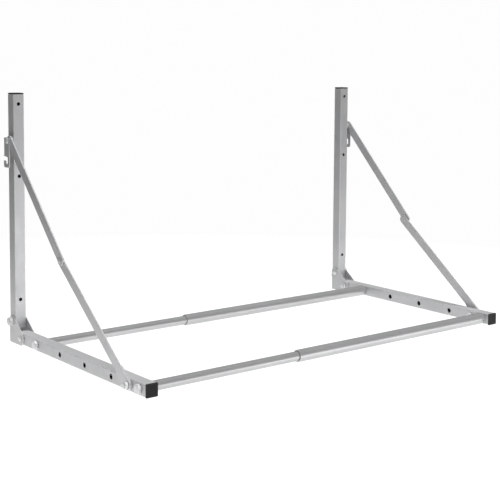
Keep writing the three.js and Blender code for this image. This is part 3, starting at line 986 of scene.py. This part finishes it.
def rivet(side):
    """The two halves of the knee's rivet, each in its own bar. They meet in the middle."""
    centre = side.centre("knee_rivet_outer")
    (d0, d1), _, (near, far) = side.box("knee_rivet_outer")
    seat = far - RIVET_HEAD
    skin = Skin()
    turned(skin, centre, [
        *dome_rows((d1 - d0) / 2, seat, RIVET_HEAD),
        (RIVET_RADIUS, seat, FRESH),
        (RIVET_RADIUS, near, FRESH),
        (0, near, FRESH),
    ])
    make_piece(skin, side, "knee_rivet_outer")
    (d0, d1), _, (near, far) = side.box("knee_rivet_inner")
    seat = side.box("lower_brace")[2][0] - GAP
    radius = (d1 - d0) / 2
    skin = Skin()
    turned(skin, centre, [
        (0, near, FRESH),
        (radius - RIVET_EDGE, near, RIVET_FACE_WEAR),
        (radius, near + RIVET_EDGE, EDGE_WEAR_AND_SHEEN),
        (radius, seat - RIVET_EDGE, EDGE_WEAR_AND_SHEEN),
        (radius - RIVET_EDGE, seat, RIVET_FACE_WEAR),
        (RIVET_RADIUS, seat, FRESH),
        (RIVET_RADIUS, far, FRESH),
        (0, far, FRESH),
    ])
    make_piece(skin, side, "knee_rivet_inner")


# ---- Materials -------------------------------------------------------------------------------------


class Looks:
    """A material's node tree, with short ways to add and link nodes."""

    def __init__(self, name):
        self.material = bpy.data.materials.new(name)
        self.material.use_nodes = True
        self.tree = self.material.node_tree
        self.shader = self.tree.nodes["Principled BSDF"]
        self.coordinates = self.tree.nodes.new("ShaderNodeTexCoord").outputs["Object"]

    def link(self, output, socket):
        self.tree.links.new(output, socket)

    def mapped(self, scale):
        node = self.tree.nodes.new("ShaderNodeMapping")
        node.inputs["Scale"].default_value = scale
        self.link(self.coordinates, node.inputs["Vector"])
        return node.outputs["Vector"]

    def noise(self, vector, scale, detail, roughness, distortion=0.0):
        node = self.tree.nodes.new("ShaderNodeTexNoise")
        node.inputs["Scale"].default_value = scale
        node.inputs["Detail"].default_value = detail
        node.inputs["Roughness"].default_value = roughness
        node.inputs["Distortion"].default_value = distortion
        self.link(vector, node.inputs["Vector"])
        return node.outputs["Fac"]

    def spots(self, scale):
        node = self.tree.nodes.new("ShaderNodeTexVoronoi")
        node.inputs["Scale"].default_value = scale
        self.link(self.coordinates, node.inputs["Vector"])
        return node.outputs["Distance"]

    def wear(self):
        node = self.tree.nodes.new("ShaderNodeAttribute")
        node.attribute_name = "wear"
        return node.outputs["Fac"]

    def ramp(self, value, stops):
        node = self.tree.nodes.new("ShaderNodeValToRGB")
        elements = node.color_ramp.elements
        while len(elements) < len(stops):
            elements.new(0.5)
        for element, (position, colour) in zip(elements, stops):
            element.position = position
            element.color = (*colour, 1)
        self.link(value, node.inputs["Fac"])
        return node.outputs["Color"]

    def map_range(self, value, source, target):
        """The value, with the source's two ends moved to the target's."""
        node = self.tree.nodes.new("ShaderNodeMapRange")
        keys = ("From Min", "From Max", "To Min", "To Max")
        for key, number in zip(keys, (*source, *target)):
            node.inputs[key].default_value = number
        self.link(value, node.inputs["Value"])
        return node.outputs["Result"]

    def product(self, a, b):
        node = self.tree.nodes.new("ShaderNodeMath")
        node.operation = "MULTIPLY"
        self.link(a, node.inputs[0])
        self.link(b, node.inputs[1])
        return node.outputs["Value"]

    def mix(self, factor, a, b):
        node = self.tree.nodes.new("ShaderNodeMix")
        node.data_type = "RGBA"
        self.link(factor, node.inputs["Factor"])
        for socket, value in ((node.inputs[6], a), (node.inputs[7], b)):
            if isinstance(value, tuple):
                socket.default_value = (*value, 1)
            else:
                self.link(value, socket)
        return node.outputs[2]

    def bump(self, height, strength, distance, normal=None):
        node = self.tree.nodes.new("ShaderNodeBump")
        node.inputs["Strength"].default_value = strength
        node.inputs["Distance"].default_value = distance
        self.link(height, node.inputs["Height"])
        if normal:
            self.link(normal, node.inputs["Normal"])
        return node.outputs["Normal"]

    def set(self, **values):
        for key, value in values.items():
            socket = self.shader.inputs[key.replace("_", " ")]
            if isinstance(value, (int, float, tuple)):
                socket.default_value = value
            else:
                self.link(value, socket)


def grey(value, cool=0.0):
    return (value * (1 - cool), value, value * (1 + cool))


def coated_steel():
    """Silver-grey powder coat: fine orange peel, faint mottling, edges lighter, partly rubbed and
    partly a painted highlight.
    """
    look = Looks("silver_powder_coat")
    cloud = look.noise(look.coordinates, scale=14, detail=3, roughness=0.55)
    speckle = look.noise(look.coordinates, scale=2600, detail=2, roughness=0.6)
    edge_patchiness = look.noise(look.coordinates, scale=320, detail=3, roughness=0.7)
    patches = look.noise(look.coordinates, scale=55, detail=4, roughness=0.6)
    peel = look.noise(look.coordinates, scale=620, detail=2, roughness=0.5)
    base = look.ramp(cloud, [(0.3, grey(0.59, 0.010)), (0.7, grey(0.65, 0.007))])
    flaked = look.mix(look.map_range(speckle, (0.45, 0.75), (0, 0.35)), base, grey(0.77, 0.008))
    # Patchy edge lightening: partly rubbed coat, partly a painted highlight of the edges' reflection
    worn_and_shining = look.product(look.wear(), look.map_range(edge_patchiness, (0.35, 0.6), (0.25, 1)))
    dimpled = look.bump(peel, strength=0.16, distance=0.12 * MM)
    look.set(
        Base_Color=look.mix(look.map_range(worn_and_shining, (0.2, 1), (0, 0.7)), flaked, grey(0.86, 0.004)),
        Metallic=0.45,
        Roughness=look.map_range(patches, (0.3, 0.7), (0.34, 0.46)),
        Normal=look.bump(speckle, strength=0.08, distance=0.04 * MM, normal=dimpled),
    )
    return look.material


def rod_steel():
    """Smooth plated tube with faint lines along it, the way that it was drawn."""
    look = Looks("drawn_rod_steel")
    lines = look.noise(look.mapped((0.012, 1, 1)), scale=2200, detail=2, roughness=0.6)
    cloud = look.noise(look.mapped((0.35, 1, 1)), scale=22, detail=3, roughness=0.55)
    scuffs = look.noise(look.mapped((60, 3, 3)), scale=9, detail=4, roughness=0.7)
    base = look.ramp(cloud, [(0.3, grey(0.52, 0.008)), (0.7, grey(0.58, 0.006))])
    streaked = look.mix(look.map_range(lines, (0.35, 0.7), (0, 0.3)), base, grey(0.64, 0.006))
    look.set(
        # Ends lightened by the wear value: partly wear, partly a painted highlight
        Base_Color=look.mix(look.map_range(look.wear(), (0, 1), (0, 0.6)), streaked, grey(0.85)),
        Metallic=0.65,
        # Darker reflection at grazing angles: painted shade along the rods' outlines
        Specular_Tint=(0.6, 0.6, 0.6, 1),
        Roughness=look.map_range(scuffs, (0.35, 0.7), (0.34, 0.46)),
        Normal=look.bump(lines, strength=0.06, distance=0.04 * MM),
    )
    return look.material


def zinc():
    """Pale zinc plating with a cloudy passivated sheen."""
    look = Looks("pale_zinc")
    cloud = look.noise(look.coordinates, scale=160, detail=4, roughness=0.6, distortion=0.4)
    patches = look.noise(look.coordinates, scale=420, detail=3, roughness=0.6)
    stops = [(0.3, grey(0.76, 0.012)), (0.55, grey(0.86, 0.008)), (0.8, (0.87, 0.86, 0.84))]
    base = look.ramp(cloud, stops)
    look.set(
        # Lightened by the wear value: partly wear, partly a painted highlight
        Base_Color=look.mix(look.map_range(look.wear(), (0.3, 1), (0, 0.6)), base, grey(0.92)),
        Metallic=0.4,
        Roughness=look.map_range(patches, (0.3, 0.7), (0.28, 0.42)),
        Normal=look.bump(look.spots(900), strength=0.1, distance=0.03 * MM),
    )
    return look.material


def black_plastic():
    """Moulded black plastic: fine even grain, edges lighter, partly polished by handling and partly a
    painted highlight.
    """
    look = Looks("black_moulded_plastic")
    cloud = look.noise(look.coordinates, scale=60, detail=3, roughness=0.6)
    patches = look.noise(look.coordinates, scale=300, detail=3, roughness=0.6)
    base = look.ramp(cloud, [(0.3, grey(0.010)), (0.7, grey(0.017))])
    look.set(
        # Edges lightened by the wear value: partly wear, partly a painted highlight
        Base_Color=look.mix(look.map_range(look.wear(), (0.2, 1), (0, 0.5)), base, grey(0.04)),
        Specular_IOR_Level=0.2,
        Roughness=look.map_range(patches, (0.3, 0.7), (0.42, 0.58)),
        Normal=look.bump(look.spots(1900), strength=0.25, distance=0.06 * MM),
    )
    return look.material


def floor_paint():
    """Matt white that fades into the surround towards the floor's edge."""
    look = Looks("pale_floor")
    cloud = look.noise(look.coordinates, scale=3, detail=3, roughness=0.5)
    distance = look.tree.nodes.new("ShaderNodeVectorMath")
    distance.operation = "LENGTH"
    look.link(look.coordinates, distance.inputs[0])
    look.set(
        Base_Color=look.ramp(cloud, [(0.3, grey(0.77)), (0.7, grey(0.79))]),
        Roughness=0.8,
        Alpha=look.map_range(distance.outputs["Value"], FLOOR_FADE, (1, 0)),
    )
    return look.material


# ---- Studio ----------------------------------------------------------------------------------------

FLOOR_DROP = 0.28  # below the arms
FLOOR_REACH = 3.2
FLOOR_FADE = (0.5 * FLOOR_REACH, 0.95 * FLOOR_REACH)

KEY_PLACE = (0.7, -1.6, -0.15)
KEY_SIZE = (1.4, 0.4)
KEY_POWER = 4.3
SUN_STRENGTH = 5.0
SUN_SPREAD = math.radians(60)
SUN_TILT = (math.radians(9), math.radians(5), 0)
SURROUND_LIGHT = 0.06  # what the surround gives off
SURROUND_SEEN = 0.985  # how bright the camera sees it

CAMERA_PLACE = (-1.6275, -2.2815, 0.6320)
CAMERA_YAW = math.radians(38.370)
CAMERA_PITCH = math.radians(5.009)
CAMERA_ROLL = math.radians(0.387)
CAMERA_LENS = 82.64
CAMERA_SHIFT = -0.19


def floor():
    mesh = bpy.data.meshes.new("floor")
    r, z = FLOOR_REACH, -FLOOR_DROP
    mesh.from_pydata([(-r, -r, z), (r, -r, z), (r, r, z), (-r, r, z)], [], [(0, 1, 2, 3)])
    mesh.materials.append(floor_paint())
    made = add_object("floor", mesh)


def key_light():
    """A low strip in front of the rack, which is brighter on the uprights' lower parts."""
    data = bpy.data.lights.new("key", "AREA")
    data.shape = "RECTANGLE"
    data.size, data.size_y = KEY_SIZE
    data.energy = KEY_POWER
    middle = (cad_box[0] + cad_box[1]) / 2
    lamp = add_object("key", data)
    lamp.location = KEY_PLACE
    lamp.rotation_euler = (middle - Vector(KEY_PLACE)).to_track_quat("-Z", "Y").to_euler()


def sun_light():
    """A wide soft light from above, which leaves no reflection of its own."""
    data = bpy.data.lights.new("top", "SUN")
    data.energy = SUN_STRENGTH
    data.angle = SUN_SPREAD
    lamp = add_object("top", data)
    lamp.rotation_euler = SUN_TILT
    lamp.visible_glossy = False


def world():
    """An even pale surround that lights softly and is seen as white."""
    made = bpy.data.worlds.new("studio")
    made.use_nodes = True
    tree = made.node_tree
    tree.nodes.clear()
    lit = tree.nodes.new("ShaderNodeBackground")
    seen = tree.nodes.new("ShaderNodeBackground")
    lit.inputs["Color"].default_value = (1, 1, 1, 1)
    lit.inputs["Strength"].default_value = SURROUND_LIGHT
    seen.inputs["Color"].default_value = (*grey(SURROUND_SEEN), 1)
    path = tree.nodes.new("ShaderNodeLightPath")
    mixer = tree.nodes.new("ShaderNodeMixShader")
    output = tree.nodes.new("ShaderNodeOutputWorld")
    tree.links.new(path.outputs["Is Camera Ray"], mixer.inputs[0])
    tree.links.new(lit.outputs[0], mixer.inputs[1])
    tree.links.new(seen.outputs[0], mixer.inputs[2])
    tree.links.new(mixer.outputs[0], output.inputs["Surface"])
    bpy.context.scene.world = made


def camera():
    data = bpy.data.cameras.new("camera")
    data.lens = CAMERA_LENS
    data.shift_y = CAMERA_SHIFT
    forward = Vector((
        math.sin(CAMERA_YAW) * math.cos(CAMERA_PITCH),
        math.cos(CAMERA_YAW) * math.cos(CAMERA_PITCH),
        -math.sin(CAMERA_PITCH),
    ))
    level = Vector((math.cos(CAMERA_YAW), -math.sin(CAMERA_YAW), 0))
    up = level.cross(forward)
    right = level * math.cos(CAMERA_ROLL) + up * math.sin(CAMERA_ROLL)
    turn = Matrix((right, right.cross(forward), -forward)).transposed()
    made = add_object("camera", data)
    made.matrix_world = Matrix.Translation(CAMERA_PLACE) @ turn.to_4x4()
    bpy.context.scene.camera = made


# ---- The rack --------------------------------------------------------------------------------------

RECORD = frame["record"]
BODY_OF = {node: body for body, nodes in RECORD["behaviour"]["bodies"].items() for node in nodes}
SLOT_OF = {part["node"]: part["material_slot"] for part in RECORD["subparts"]}
MATERIALS = {
    "coated_steel": coated_steel(),
    "rod_steel": rod_steel(),
    "zinc_fastener": zinc(),
    "black_plastic": black_plastic(),
}

camera()
floor()
key_light()
sun_light()
world()
bpy.context.scene.view_settings.view_transform = "Standard"

for name in ("left", "right"):
    side = Side(name)
    upright_tube(side)
    upright_cap(side)
    arm_tube(side)
    arm_cap(side)
    pivot_bracket(side)
    hook_bracket(side)
    braces(side)
    rods(side)
    fasteners(side)
